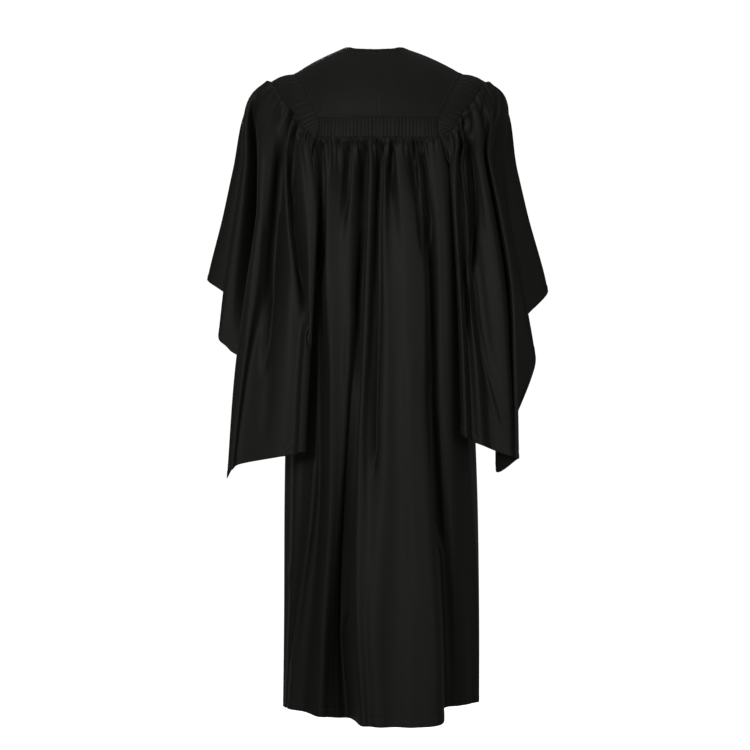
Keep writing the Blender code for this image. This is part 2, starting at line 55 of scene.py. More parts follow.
ARMHOLE = (
    # x, y, z of the seam, then out x, out y, out z to the fluted head's far edge
    (152, 0, -42, 44, -4, -14),
    (132, 62, -76, 43, -10, -14),
    (107, 103, -133, 30, -4, -13),
    (107, 114, -171, 6.5, 3.5, -2.5),
    (124, 104, -216, 0.5, 0.8, -0.3),
    (150, 64, -262, 0.8, 0.5, -0.4),
    (163, 0, -290, 0.75, 0.0, -0.66),
    (152, -62, -252, 0.8, -0.5, -0.4),
    (136, -94, -190, 0.5, -0.8, -0.3),
    (132, -92, -120, 18, -8, -6),
    (146, -50, -72, 38, -2, -14),
)
YOKE_CORNER, GATHER_CORNER, UNDERARM, FRONT_CORNER = 2, 3, 6, 9
STATIONS = len(ARMHOLE)
RIGHT_WIDER = 8.0
SLEEVE_SEAM_OUT = 1.9

YOKE_FRONT_END = (62, -108, -119)
YOKE_NECK = (
    # neck x, y, z and crown, from the front end round to the middle of the back
    (58, -84, -62, 2),
    (60, -60, -36, 5),
    (62, -30, -12, 6),
    (60, 4, 4, 4),
    (50, 38, 3, 7),
    (38, 54, -1, 9),
    (20, 63, -3, 9),
    (0, 66, -4, 9),
)
NECK_RIGHT_WIDER = -7.0

BACK_SEAMS = (
    # x, y at the yoke's seam, z, y at the gathered seam, z
    (54, 117, -133, 122, -171),
    (-4, 121, -133, 127, -171),
    (-62, 117, -133, 122, -171),
)


def smooth(values):
    """0 below 0, 1 above 1, and an even rise between."""
    values = np.clip(values, 0.0, 1.0)
    return values * values * (3 - 2 * values)


def curve_points(points, ranks, closed=False):
    """Points on the smooth curve through points, which lie at whole ranks."""
    points = np.asarray(points, float)
    ranks = np.atleast_1d(np.asarray(ranks, float))
    count = len(points)
    start = np.floor(ranks).astype(int)
    if not closed:
        start = np.clip(start, 0, count - 2)
    t = (ranks - start)[:, None]

    def pick(step):
        index = start + step
        return points[index % count] if closed else points[np.clip(index, 0, count - 1)]

    before, here, there, after = pick(-1), pick(0), pick(1), pick(2)
    return 0.5 * (
        2 * here
        + (there - before) * t
        + (2 * before - 5 * here + 4 * there - after) * t**2
        + (3 * here - before - 3 * there + after) * t**3
    )


def on_side(side, points):
    """Points of the left half, or the same on the right half, which hangs a little wider."""
    points = np.array(points, float)
    if side == "right":
        points[..., 0] = -(points[..., 0] + RIGHT_WIDER)
    return points


def armhole_seam(side, stations):
    """Points on the seam round an armhole."""
    return on_side(side, curve_points([row[:3] for row in ARMHOLE], stations, closed=True))


def head_edge(side, stations):
    """Points where the sleeve's cloth leaves the fluted head, or the seam below it."""
    outs = []
    for index, row in enumerate(ARMHOLE):
        out = np.array(row[3:], float)
        if GATHER_CORNER < index < FRONT_CORNER:
            out *= SLEEVE_SEAM_OUT / np.linalg.norm(out)
        outs.append(out)
    outs = np.array(outs)
    stations = np.atleast_1d(np.asarray(stations, float))
    index = np.floor(stations).astype(int)
    share = smooth(stations - index)[:, None]
    out = outs[index % STATIONS] * (1 - share) + outs[(index + 1) % STATIONS] * share
    seam = curve_points([row[:3] for row in ARMHOLE], stations, closed=True)
    return on_side(side, seam + out)


def back_seam(drop, positions):
    """Points across the back from the left armhole, 0, to the right, 4.

    drop is 0 at the yoke's seam and 1 at the gathered seam.
    """
    station = YOKE_CORNER + drop * (GATHER_CORNER - YOKE_CORNER)
    middle = [(x, y0 + (y1 - y0) * drop, z0 + (z1 - z0) * drop) for x, y0, z0, y1, z1 in BACK_SEAMS]
    ends = [armhole_seam(side, station)[0] for side in ("left", "right")]
    return curve_points([ends[0], *middle, ends[1]], positions)


def front_top(side, positions):
    """A front's top edge: the yoke's seam 0 to 1, then the armhole down to the underarm at 4."""
    positions = np.atleast_1d(np.asarray(positions, float))
    end = on_side(side, YOKE_FRONT_END)
    corner = armhole_seam(side, FRONT_CORNER)[0]
    seam = end + (corner - end) * positions[:, None]
    return np.where((positions > 1)[:, None], armhole_seam(side, FRONT_CORNER + 1 - positions), seam)


class Signal:
    """A socket in a material's node tree. Arithmetic on it adds Math nodes."""

    def __init__(self, tree, socket=None):
        self.tree = tree
        self.socket = socket

    def node(self, kind, settings=None, output=0, **sockets):
        """Adds a node with its settings, then its sockets' values or links, by name or place."""
        made = self.tree.nodes.new(kind)
        for name, value in (settings or {}).items():
            setattr(made, name, value)
        for name, value in sockets.items():
            key = int(name[2:]) if name.startswith("in") and name[2:].isdigit() else name.replace("_", " ")
            if isinstance(value, Signal):
                self.tree.links.new(value.socket, made.inputs[key])
            else:
                made.inputs[key].default_value = value
        return Signal(self.tree, made.outputs[output])

    def maths(self, operation, first, second=0.0):
        return self.node("ShaderNodeMath", {"operation": operation}, in0=first, in1=second)

    def __add__(self, other):
        return self.maths("ADD", self, other)

    __radd__ = __add__

    def __sub__(self, other):
        return self.maths("SUBTRACT", self, other)

    def __rsub__(self, other):
        return self.maths("SUBTRACT", other, self)

    def __mul__(self, other):
        return self.maths("MULTIPLY", self, other)

    __rmul__ = __mul__

    def sine(self):
        return self.maths("SINE", self)


THREAD_PITCH = 0.0007
WEAVE_HEIGHT = 0.00006


def black_polyester(name, dark, light, roughness):
    """Plain-woven black polyester: fine weave, soft slubs along the warp, a low satin sheen."""
    material = bpy.data.materials.new(name)
    material.use_nodes = True
    tree = material.node_tree
    shader = tree.nodes["Principled BSDF"]
    start = Signal(tree)
    place = start.node("ShaderNodeTexCoord", output=3)
    cloth = start.node("ShaderNodeUVMap", {"uv_map": "cloth"})
    across = start.node("ShaderNodeSeparateXYZ", output=0, in0=cloth)
    down = start.node("ShaderNodeSeparateXYZ", output=1, in0=cloth)
    turn = 2 * math.pi / THREAD_PITCH
    weave = (across * turn).sine() * (down * turn).sine()
    slub_place = start.node("ShaderNodeMapping", {}, in0=cloth, Scale=(900.0, 60.0, 1.0))
    slubs = start.node("ShaderNodeTexNoise", {}, in0=slub_place, Scale=1.0, Detail=3.0, Roughness=0.6)
    mottle = start.node("ShaderNodeTexNoise", {}, in0=place, Scale=9.0, Detail=4.0, Roughness=0.55)
    crush = start.node("ShaderNodeTexNoise", {}, in0=place, Scale=55.0, Detail=4.0, Roughness=0.6)
    shade = mottle * 0.6 + slubs * 0.4
    tint = start.node(
        "ShaderNodeMix", {"data_type": "RGBA"}, output=2, in0=shade, in6=dark, in7=light
    )
    tree.links.new(tint.socket, shader.inputs["Base Color"])
    gloss = roughness - 0.07 + mottle * 0.10 + crush * 0.04
    tree.links.new(gloss.socket, shader.inputs["Roughness"])
    height = weave * 0.5 + slubs * 1.2
    threads = start.node("ShaderNodeBump", {}, Strength=0.55, Distance=WEAVE_HEIGHT, Height=height)
    soft = start.node(
        "ShaderNodeBump", {}, Strength=0.35, Distance=0.0012, Height=crush, Normal=threads
    )
    tree.links.new(soft.socket, shader.inputs["Normal"])
    shader.inputs["Sheen Weight"].default_value = 0.015
    shader.inputs["Sheen Roughness"].default_value = 0.5
    shader.inputs["Specular IOR Level"].default_value = 0.14
    material.diffuse_color = light
    return material


gown_cloth = black_polyester(
    "gown_cloth", (0.0058, 0.0060, 0.0048, 1.0), (0.0105, 0.0108, 0.0090, 1.0), 0.60
)

SHEET_THICKNESS = 0.7


def cloth_uv(mesh, rows, closed):
    """Lays the cloth flat in metres: across by its mean width, down by each column's length."""
    steps = np.linalg.norm(np.diff(rows, axis=1, append=rows[:, :1]), axis=2).mean(axis=0)
    across = np.concatenate([[0.0], np.cumsum(steps)]) * MM
    falls = np.linalg.norm(np.diff(rows, axis=0), axis=2)
    down = np.concatenate([np.zeros((1, rows.shape[1])), np.cumsum(falls, axis=0)]) * MM
    height, width = rows.shape[:2]
    spans = width if closed else width - 1
    first = np.arange(spans)
    after = (first + 1) % width
    flat = []
    for row in range(height - 1):
        corners = np.stack([
            np.stack([across[first], down[row, first]], axis=1),
            np.stack([across[first], down[row + 1, first]], axis=1),
            np.stack([across[first + 1], down[row + 1, after]], axis=1),
            np.stack([across[first + 1], down[row, after]], axis=1),
        ], axis=1)
        flat.append(corners)
    layer = mesh.uv_layers.new(name="cloth")
    layer.data.foreach_set("uv", np.concatenate(flat).ravel())


def make_sheet(name, rows, material, closed=False, thickness=SHEET_THICKNESS):
    """A thin sheet through rows of points, outer side outward, with its thickness applied."""
    rows = np.asarray(rows, float)
    height, width = rows.shape[:2]
    spans = width if closed else width - 1
    number = np.arange(height * width).reshape(height, width)
    first = np.arange(spans)
    after = (first + 1) % width
    quads = np.stack([
        number[:-1][:, first], number[1:][:, first], number[1:][:, after], number[:-1][:, after],
    ], axis=-1).reshape(-1, 4)
    mesh = bpy.data.meshes.new(name)
    mesh.from_pydata((rows.reshape(-1, 3) * MM).tolist(), [], quads.tolist())
    cloth_uv(mesh, rows, closed)
    mesh.materials.append(material)
    mesh.shade_smooth()
    sheet = bpy.data.objects.new(name, mesh)
    bpy.context.collection.objects.link(sheet)
    wall = sheet.modifiers.new("wall", "SOLIDIFY")
    wall.thickness = thickness * MM
    wall.offset = 0.0
    bpy.ops.object.select_all(action="DESELECT")
    bpy.context.view_layer.objects.active = sheet
    sheet.select_set(True)
    bpy.ops.object.modifier_apply(modifier="wall")
    return sheet


def sheet_normals(rows, closed):
    """Unit normals of a sheet's points, towards its outer side."""
    if closed:
        along = np.roll(rows, -1, axis=1) - np.roll(rows, 1, axis=1)
    else:
        along = np.gradient(rows, axis=1)
    down = np.gradient(rows, axis=0)
    normals = np.cross(down, along)
    return normals / np.maximum(np.linalg.norm(normals, axis=2, keepdims=True), 1e-9)


def edge_fold(distance, width, along, pucker_pitch):
    """Relief of a turned and stitched edge: the doubled cloth, its stitch line and its puckers."""
    doubled = 0.45 * smooth((width - distance) / 1.6)
    groove = -0.35 * np.exp(-(((distance - width + 1.6) / 0.9) ** 2))
    puckers = 0.4 * np.exp(-(((distance - width) / 6.0) ** 2)) * np.cos(2 * math.pi * along / pucker_pitch)
    return doubled + groove + puckers


STITCH_LENGTH, STITCH_GAP, STITCH_RADIUS = 2.3, 1.1, 0.28


def make_stitches(name, path, normals, material):
    """A row of thread stitches along a path of points that lies on the cloth."""
    path = np.asarray(path, float)
    steps = np.linalg.norm(np.diff(path, axis=0), axis=1)
    run = np.concatenate([[0.0], np.cumsum(steps)])
    starts = np.arange(1.0, run[-1] - STITCH_LENGTH - 1.0, STITCH_LENGTH + STITCH_GAP)
    profile = ((0.0, 0.0), (0.2, 0.8), (0.5, 1.0), (0.8, 0.8), (1.0, 0.0))
    corners, faces = [], []
    for start in starts:
        at = start + np.array([share for share, _ in profile]) * STITCH_LENGTH
        centre = np.stack([np.interp(at, run, path[:, axis]) for axis in range(3)], axis=1)
        up = np.stack([np.interp(at, run, normals[:, axis]) for axis in range(3)], axis=1)
        up /= np.linalg.norm(up, axis=1, keepdims=True)
        way = np.gradient(centre, axis=0)
        way /= np.linalg.norm(way, axis=1, keepdims=True)
        side = np.cross(way, up)
        base = len(corners)
        for spot, lift, beside, (_, swell) in zip(centre, up, side, profile):
            middle = spot + lift * (0.35 * swell - 0.1)
            radius = STITCH_RADIUS * max(swell, 0.35)
            for turn in range(5):
                angle = 2 * math.pi * turn / 5
                corners.append(middle + lift * radius * math.cos(angle) + beside * radius * math.sin(angle))
        for ring in range(4):
            for turn in range(5):
                here = base + ring * 5 + turn
                there = base + ring * 5 + (turn + 1) % 5
                faces.append((here, there, there + 5, here + 5))
        faces.append(tuple(base + turn for turn in reversed(range(5))))
        faces.append(tuple(base + 20 + turn for turn in range(5)))
    mesh = bpy.data.meshes.new(name)
    mesh.from_pydata((np.array(corners) * MM).tolist(), [], faces)
    shaped = bmesh.new()
    shaped.from_mesh(mesh)
    bmesh.ops.recalc_face_normals(shaped, faces=shaped.faces[:])
    shaped.to_mesh(mesh)
    shaped.free()
    mesh.materials.append(material)
    mesh.shade_smooth()
    row = bpy.data.objects.new(name, mesh)
    bpy.context.collection.objects.link(row)
    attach(row, "root")
    return row


def black_thread(name):
    """Spun polyester sewing thread, twisted, a little glossier than the cloth."""
    material = bpy.data.materials.new(name)
    material.use_nodes = True
    tree = material.node_tree
    shader = tree.nodes["Principled BSDF"]
    start = Signal(tree)
    place = start.node("ShaderNodeTexCoord", output=3)
    twist = start.node("ShaderNodeTexNoise", {}, in0=place, Scale=2500.0, Detail=2.0)
    tint = start.node(
        "ShaderNodeMix", {"data_type": "RGBA"}, output=2, in0=twist,
        in6=(0.005, 0.005, 0.0045, 1.0), in7=(0.009, 0.009, 0.008, 1.0),
    )
    tree.links.new(tint.socket, shader.inputs["Base Color"])
    gloss = twist * 0.2 + 0.3
    tree.links.new(gloss.socket, shader.inputs["Roughness"])
    raised = start.node("ShaderNodeBump", {}, Strength=0.5, Distance=0.0001, Height=twist)
    tree.links.new(raised.socket, shader.inputs["Normal"])
    return material


sewing_thread = black_thread("sewing_thread")

YOKE_COLUMNS_A_STATION = 22
YOKE_ROWS = 64
YOKE_LIP = 1.2
YOKE_LIP_LIFT = 0.8
NECK_TURN = 6.0


def yoke_rows():
    """Rows of the yoke's points, from the neck's edge out to its seams."""
    edge, neck, crown = [], [], []
    last = len(YOKE_NECK) - 1
    steps = np.linspace(0, last, last * YOKE_COLUMNS_A_STATION + 1)
    for side in ("left", "right"):
        sign = 1 if side == "left" else -1
        wider = 0 if side == "left" else NECK_RIGHT_WIDER
        necks = [(sign * (x + (wider if x else 0)), y, z) for x, y, z, _ in YOKE_NECK]
        across = np.where(side == "left", steps - 5, 9 - steps)
        outer = np.where(
            (steps < 1)[:, None],
            front_top(side, np.minimum(steps, 1)),
            np.where((steps <= 5)[:, None], armhole_seam(side, steps - 1 + FRONT_CORNER), back_seam(0, across)),
        )
        inner = curve_points(necks, steps)
        rise = np.interp(steps, range(last + 1), [row[3] for row in YOKE_NECK])
        if side == "right":
            outer, inner, rise = outer[-2::-1], inner[-2::-1], rise[-2::-1]
        edge.append(outer)
        neck.append(inner)
        crown.append(rise)
    edge, neck, crown = np.concatenate(edge), np.concatenate(neck), np.concatenate(crown)
    middle = (edge + neck) / 2 - np.array([0.0, 0.0, -90.0])
    lift_way = middle * np.array([0.3, 1, 1])
    lift_way /= np.linalg.norm(lift_way, axis=1, keepdims=True)
    reach = np.linalg.norm(edge - neck, axis=1)
    rows = []
    near = np.linspace(0, 0.16, 12, endpoint=False)
    far = np.linspace(0.93, 1, 12)
    shares = np.concatenate([near, np.linspace(0.16, 0.93, YOKE_ROWS - 24, endpoint=False), far])
    seam_run = np.concatenate([[0], np.cumsum(np.linalg.norm(np.diff(edge, axis=0), axis=1))])
    neck_run = np.concatenate([[0], np.cumsum(np.linalg.norm(np.diff(neck, axis=0), axis=1))])
    centre = np.abs(edge[:, 0] + 4) + 1000 * (edge[:, 1] < 0)
    for share in shares:
        reached = share * (1 + YOKE_LIP / reach)[:, None]
        lift = crown * math.sin(math.pi * share)
        lift = lift + edge_fold(share * reach, NECK_TURN, neck_run, 11.0)
        rim = (1 - share) * reach
        lift = lift + YOKE_LIP_LIFT * smooth((9 - rim) / 9) * smooth(share * 3)
        lift = lift + 0.3 * np.exp(-((rim / 3.0) ** 2)) * np.cos(2 * math.pi * seam_run / 8.0)
        lift = lift - 0.55 * np.exp(-((centre / 1.4) ** 2)) + 0.35 * np.exp(-(((centre - 4) / 3.0) ** 2))
        sag = np.sin(seam_run / 31 + 2 * share) * np.sin(seam_run / 17 - 3 * share) * 0.5
        lift = lift + sag * math.sin(math.pi * share)
        rows.append(neck + (edge - neck) * reached + lift_way * lift[:, None])
    return np.array(rows)


yoke_points = yoke_rows()
yoke = make_sheet("yoke_panel", yoke_points, gown_cloth, thickness=1.2)
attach(yoke, "root")
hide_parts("yoke")
yoke_normals = sheet_normals(yoke_points, False)
SEAM_STITCH_ROW, NECK_STITCH_ROW = -6, 5
for label, row in (("seam", SEAM_STITCH_ROW), ("neck", NECK_STITCH_ROW)):
    lift = yoke_normals[row] * 0.6
    make_stitches(f"yoke_{label}_stitches", yoke_points[row] + lift, yoke_normals[row], sewing_thread)


# The fluted band: the top of the back panel, drawn up on rows of hidden stitches into fine
# upright flutes and sewn under the yoke's edge. It is the back's own cloth.

FLUTES_BACK = 34
FLUTE_DEPTH = 0.85
SAMPLES_A_FLUTE = 14
BAND_ROWS = 30
HOLDING_ROWS = (0.16, 0.5, 0.84)
TUCKED_UNDER = 2.0
SEWN_UNDER = 0.5

# The back's own black polyester with its tints set darker: painted shade over the flutes.
fluted_cloth = black_polyester(
    "fluted_cloth", (0.0052, 0.0054, 0.0044, 1.0), (0.0092, 0.0094, 0.0079, 1.0), 0.62
)


def flute_relief(positions, start, end, count, share):
    """Round flutes with sharp grooves between, nipped in at the stitches and at both seams."""
    phase = (positions - start) / (end - start) * count
    unevenness = 1 + 0.18 * np.sin(phase * 1.7 + 1) + 0.12 * np.sin(phase * 0.61)
    round_top = 2 * np.abs(np.cos(math.pi * phase)) ** 0.6 - 1.1
    nip = 1 - 0.38 * sum(np.exp(-(((share - row) / 0.035) ** 2)) for row in HOLDING_ROWS)
    nip *= (0.1 + 0.9 * smooth(share / 0.1)) * (0.35 + 0.65 * smooth((1 - share) / 0.07))
    return FLUTE_DEPTH * unevenness * round_top * nip


def back_band_rows():
    """Rows of the fluted band's points, from under the yoke to the gathered seam."""
    positions = np.linspace(0.02, 3.98, FLUTES_BACK * SAMPLES_A_FLUTE + 1)
    rows = []
    for share in np.linspace(0, 1, BAND_ROWS):
        points = back_seam(share, positions)
        points[:, 2] += TUCKED_UNDER * (1 - smooth(share / 0.1))
        sway = 0.25 * np.sin(positions * 37 + share * 3)
        points[:, 1] += 1.2 * math.sin(math.pi * share) - SEWN_UNDER * (1 - smooth(share / 0.15))
        points[:, 1] += flute_relief(positions, 0, 4, FLUTES_BACK, share)
        points[:, 0] += sway * math.sin(math.pi * share)
        rows.append(points)
    return np.array(rows)


back_band = make_sheet("back_fluted_band", back_band_rows(), fluted_cloth)
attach(back_band, "root")
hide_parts("back_fluting")


# The back: one wide panel whose fullness leaves the band in small gathers. They run together
# into a few deep folds that fall to the floor-length hem, with the middle fold swung outwards.

BACK_LEVELS = (-230, -300, -375, -620, -850, -1080, -1240)
BACK_FOLDS = (
    # start on the seam, x at each level, y at each level, hem
    (0.0, (165, 165, 167, 168, 171, 172, 174), (0, 0, 0, 0, 0, 0, 0), -1223),
    (1.0, (150, 151, 151, 150, 155, 164, 170), (62, 62, 64, 68, 62, 40, 28), -1222),
    (1.9, (132, 132, 131, 130, 136, 154, 166), (90, 90, 92, 86, 76, 52, 36), -1221),
    (2.6, (112, 112, 112, 110, 117, 147, 160), (108, 106, 104, 104, 100, 78, 62), -1221),
    (3.1, (100, 100, 100, 100, 104, 124, 134), (112, 112, 108, 108, 96, 84, 72), -1224),
    (3.4, (88, 90, 92, 84, 86, 98, 106), (124, 127, 130, 132, 122, 112, 106), -1228),
    (3.95, (56, 62, 66, 64, 70, 82, 88), (112, 124, 131, 130, 116, 100, 98), -1230),
    (4.15, (44, 46, 48, 52, 64, 72, 70), (127, 132, 134, 130, 110, 90, 92), -1232),
    (4.45, (26, 28, 29, 42, 57, 60, 46), (111, 113, 116, 118, 100, 86, 94), -1233),
    (4.7, (11, 13, 15, 25, 38, 39, 28), (129, 133, 137, 142, 154, 180, 194), -1232),
    (5.0, (-4, 0, 2, 9, 15, 16, 10), (111, 114, 119, 131, 154, 184, 199), -1233),
    (5.2, (-15, -14, -13, -15, -11, -5, -8), (130, 134, 139, 150, 164, 188, 204), -1234),
    (5.38, (-27, -28, -29, -34, -38, -36, -36), (115, 126, 137, 148, 159, 181, 198), -1234),
    (5.58, (-39, -46, -53, -58, -66, -70, -70), (129, 136, 142, 152, 164, 187, 205), -1234),
    (5.78, (-56, -70, -80, -88, -102, -116, -119), (125, 132, 137, 144, 156, 176, 190), -1230),
    (5.95, (-70, -86, -97, -102, -115, -124, -125), (110, 112, 115, 118, 104, 92, 88), -1216),
    (6.6, (-104, -112, -116, -124, -138, -150, -154), (124, 126, 126, 126, 108, 84, 70), -1213),
    (7.2, (-132, -135, -138, -146, -158, -170, -174), (112, 115, 115, 110, 88, 56, 43), -1213),
    (8.8, (-158, -158, -160, -168, -180, -187, -188), (60, 62, 62, 60, 44, 20, 16), -1213),
    (10.0, (-173, -173, -175, -182, -190, -193, -193), (0, 0, 0, 0, 0, -4, -6), -1214),
)
GATHERS_BACK = 24
HEM_TURN = 14.0


def back_top(positions):
    """The back's top edge: left armhole 0 to 3, gathered seam 3 to 7, right armhole 7 to 10."""
    positions = np.asarray(positions, float)
    left = armhole_seam("left", UNDERARM - np.clip(positions, 0, 3))
    right = armhole_seam("right", np.clip(positions, 7, 10) - 7 + GATHER_CORNER)
    middle = back_seam(1, np.clip(positions - 3, 0, 4))
    return np.where((positions < 3)[:, None], left, np.where((positions > 7)[:, None], right, middle))


def hanging_line(top, levels, xs, ys, sign=1):
    """Rows of z, x, y down one fold line, from its start on the seam to the lowest level."""
    rows = [(top[2], top[0], top[1])]
    rows += [(z, sign * x, y) for z, x, y in zip(levels, xs, ys) if z < top[2] - 24]
    return np.array(rows, float)


def at_heights(line, heights):
    """Points of a fold line at heights, with even slopes through its rows."""
    heights = np.atleast_1d(np.asarray(heights, float))
    z = line[:, 0]
    slopes = np.gradient(line[:, 1:], z, axis=0)
    index = np.clip(np.searchsorted(-z, -heights) - 1, 0, len(z) - 2)
    span = (z[index + 1] - z[index])[:, None]
    t = np.clip((heights[:, None] - z[index][:, None]) / span, 0, 1)
    xy = (
        line[index, 1:] * (1 + 2 * t) * (1 - t) ** 2
        + slopes[index] * span * t * (1 - t) ** 2
        + line[index + 1, 1:] * t * t * (3 - 2 * t)
        + slopes[index + 1] * span * t * t * (t - 1)
    )
    return np.concatenate([xy, heights[:, None]], axis=1)


def gathers(positions, start, end, count, drop, depth, reach, seed):
    """Small folds under a gathered seam, uneven in depth and length, each fading as it falls."""
    phase = (positions - start) / (end - start)
    wander = np.random.default_rng(seed)
    waves = wander.uniform(0, 2 * math.pi, 6)
    length = reach * (1 + 0.35 * np.sin(17 * phase + waves[0]) + 0.3 * np.sin(41 * phase + waves[1]))
    uneven = 1 + 0.35 * np.sin(29 * phase + waves[2]) + 0.2 * np.sin(67 * phase + waves[3])
    shift = 0.25 * np.sin(23 * phase + waves[4]) + 0.15 * np.sin(drop / 60 + 9 * phase)
    swell = smooth(drop / 5) * (1 - smooth((drop - 5) / np.maximum(length, 8)))
    edge = smooth(phase * 20) * smooth((1 - phase) * 20)
    wave = np.cos(2 * math.pi * (count * phase + shift))
    crest = np.sign(wave) * np.abs(wave) ** 0.8
    return depth * uneven * swell * edge * crest


def seam_puff(positions, start, end, drop):
    """The cloth's small swell just below a gathered seam, and its dip at the stitches."""
    phase = (positions - start) / (end - start)
    inside = smooth(phase * 14) * smooth((1 - phase) * 14)
    return inside * (1.6 * np.exp(-(((drop - 7) / 5.0) ** 2)) - 1.2 * np.exp(-((drop / 2.5) ** 2)))


def across_cloth(rows, share):
    """Each column's place across the cloth in mm, measured along the row at a share down."""
    row = rows[int(share * (len(rows) - 1))]
    steps = np.linalg.norm(np.diff(row, axis=0, prepend=row[:1]), axis=1)
    return np.cumsum(steps)


def soft_folds(across, drop, fall, seed, count, width, depth):
    """Long shallow folds at places and slants of their own, fading in and out down the cloth."""
    wander = np.random.default_rng(seed)
    total = np.zeros(drop.shape)
    for _ in range(count):
        middle = wander.uniform(across[0], across[-1])
        half = width * wander.uniform(0.5, 1.6)
        centre = wander.uniform(0.1, 1.0) * fall
        reach = wander.uniform(0.15, 0.5) * fall
        slant = wander.uniform(-0.09, 0.09)
        bend = wander.uniform(-0.00012, 0.00012)
        height = depth * wander.uniform(0.3, 1.0) * wander.choice((-1.0, 1.0)) * min(half / width, 1.2)
        along = drop - centre
        aside = across[None, :] - middle - slant * along - bend * along**2
        total += height * np.exp(-((aside / half) ** 2)) * np.exp(-((along / reach) ** 2))
    ends = smooth((across - across[0]) / 25) * smooth((across[-1] - across) / 25)
    return total * smooth(drop / 60) * ends[None, :]


def placed_creases(points, normals, table):
    """Creases at set places on the cloth's back: a line of x, z, then the width and the height."""
    x, y, z = points[..., 0], points[..., 1], points[..., 2]
    facing = smooth(normals[..., 1] * 5)
    total = np.zeros(z.shape)
    for line, width, height, least_y in table:
        xs, zs = np.array(line, float).T
        middle = np.interp(-z, -zs, xs)
        ends = smooth((zs[0] - z) / 25) * smooth((z - zs[-1]) / 70)
        total += height * np.exp(-(((x - middle) / width) ** 2)) * ends * (y > least_y) * facing
    return total


BACK_CREASES = (
    # x, z down the line, width, height, least y
    (((71, -176), (70, -205), (68, -245)), 3.2, -5.0, 60),
    (((102, -172), (100, -250), (101, -340), (105, -450)), 6.5, -14.0, 60),
    (((52, -174), (52, -222), (56, -280), (62, -340)), 4.6, -13.0, 60),
    (((22, -174), (23, -330), (30, -450), (35, -650), (45, -795), (55, -941), (59, -1080)), 4.2, -18.0, 60),
    (((37, -180), (38, -322), (45, -467), (52, -650)), 7.0, 3.0, 60),
    (((-10, -174), (-3, -322), (-1, -467), (3, -650), (5, -795)), 4.8, -14.0, 60),
    (((6, -180), (9, -322), (15, -467), (21, -620)), 5.0, 2.0, 60),
    (((-28, -174), (-28, -222), (-24, -310)), 3.6, -10.0, 60),
    (((-68, -174), (-70, -222), (-80, -310), (-84, -395)), 3.6, -9.0, 60),
    (((-80, -190), (-87, -267), (-95, -322), (-101, -467), (-104, -650), (-111, -795), (-118, -941)), 4.6, -17.0, 60),
    (((-76, -190), (-85, -322), (-90, -467), (-92, -650)), 6.0, 2.0, 60),
    (((114, -760), (124, -904), (142, -1050), (160, -1175)), 4.0, 4.0, 20),
    (((120, -760), (131, -904), (150, -1050), (168, -1175)), 5.0, -4.0, 20),
    (((168, -940), (158, -1000), (146, -1050)), 4.0, 2.4, 20),
    (((40, -470), (34, -640), (24, -820), (14, -1000), (8, -1160)), 9.0, 2.2, 60),
    (((-64, -560), (-62, -720), (-70, -900), (-78, -1080)), 12.0, 2.0, 60),
    (((-2, -700), (-10, -860), (-14, -1040), (-18, -1220)), 14.0, -2.0, 60),
)


def back_rows():
    """Rows of the back's points, from under the band down to the hem."""
    positions = np.concatenate([
        np.linspace(0, 3, 42, endpoint=False),
        np.linspace(3, 7, 270, endpoint=False),
        np.linspace(7, 10, 43),
    ])
    shares = np.concatenate([
        np.linspace(0, 0.03, 18, endpoint=False),
        np.linspace(0.03, 0.14, 24, endpoint=False),
        np.linspace(0.14, 0.975, 78, endpoint=False),
        np.linspace(0.975, 1, 14),
    ])
    starts = [fold[0] for fold in BACK_FOLDS]
    tops = back_top(np.array(starts))
    ranks = np.interp(positions, starts, range(len(starts)))
    knots = []
    for top, (_, xs, ys, hem) in zip(tops, BACK_FOLDS):
        line = hanging_line(top, BACK_LEVELS, xs, ys)
        knots.append(at_heights(line, top[2] + (hem - top[2]) * shares))
    knots = np.array(knots)
    edge = back_top(positions)
    drift = edge - curve_points(tops, ranks)
    rows = []
    for number, share in enumerate(shares):
        near_seam = 1 - smooth(np.array(share / 0.06))
        rows.append(curve_points(knots[:, number], ranks) + drift * near_seam)
    rows = np.array(rows)
    normals = sheet_normals(rows, False)
    normals[..., 2] *= 0.2
    normals /= np.linalg.norm(normals, axis=2, keepdims=True)
    fall = 1060.0
    drops = edge[None, :, 2] - rows[..., 2]
    across = across_cloth(rows, 0.7)
    shaped = soft_folds(across, drops, fall, 5, 60, 16.0, 2.0) + placed_creases(rows, normals, BACK_CREASES)
    seams = smooth(positions / 0.2) * smooth((10 - positions) / 0.2)
    for number, share in enumerate(shares):
        drop = drops[number]
        lift = gathers(positions, 3, 7, GATHERS_BACK, drop, 1.9, 62, 11) + shaped[number]
        lift = lift + gathers(positions, 3, 7, FLUTES_BACK, drop, 1.7, 14, 12)
        lift = lift + seam_puff(positions, 3, 7, drop)
        run = np.cumsum(np.linalg.norm(np.diff(rows[number], axis=0, prepend=rows[number][:1]), axis=1))
        lift = lift + edge_fold((1 - share) * fall, HEM_TURN, run, 17.0) * seams
        rows[number] = rows[number] + normals[number] * lift[:, None]
    middle = (positions > 3) & (positions < 7)
    rows[0][middle] = edge[middle] + (0, -SEWN_UNDER, TUCKED_UNDER)
    return rows


back_points = back_rows()
back = make_sheet("back_panel", back_points, gown_cloth)
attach(back, "root")
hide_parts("back")
HEM_STITCH_ROW = -8
back_normals = sheet_normals(back_points, False)
make_stitches(
    "back_hem_stitches",
    back_points[HEM_STITCH_ROW] + back_normals[HEM_STITCH_ROW] * 0.4,
    back_normals[HEM_STITCH_ROW],
    sewing_thread,
)


# The fronts: two plain panels that hang from the yoke's front seams, open down the middle,
# with turned front edges and the same hem as the back, which they join at the side seams.

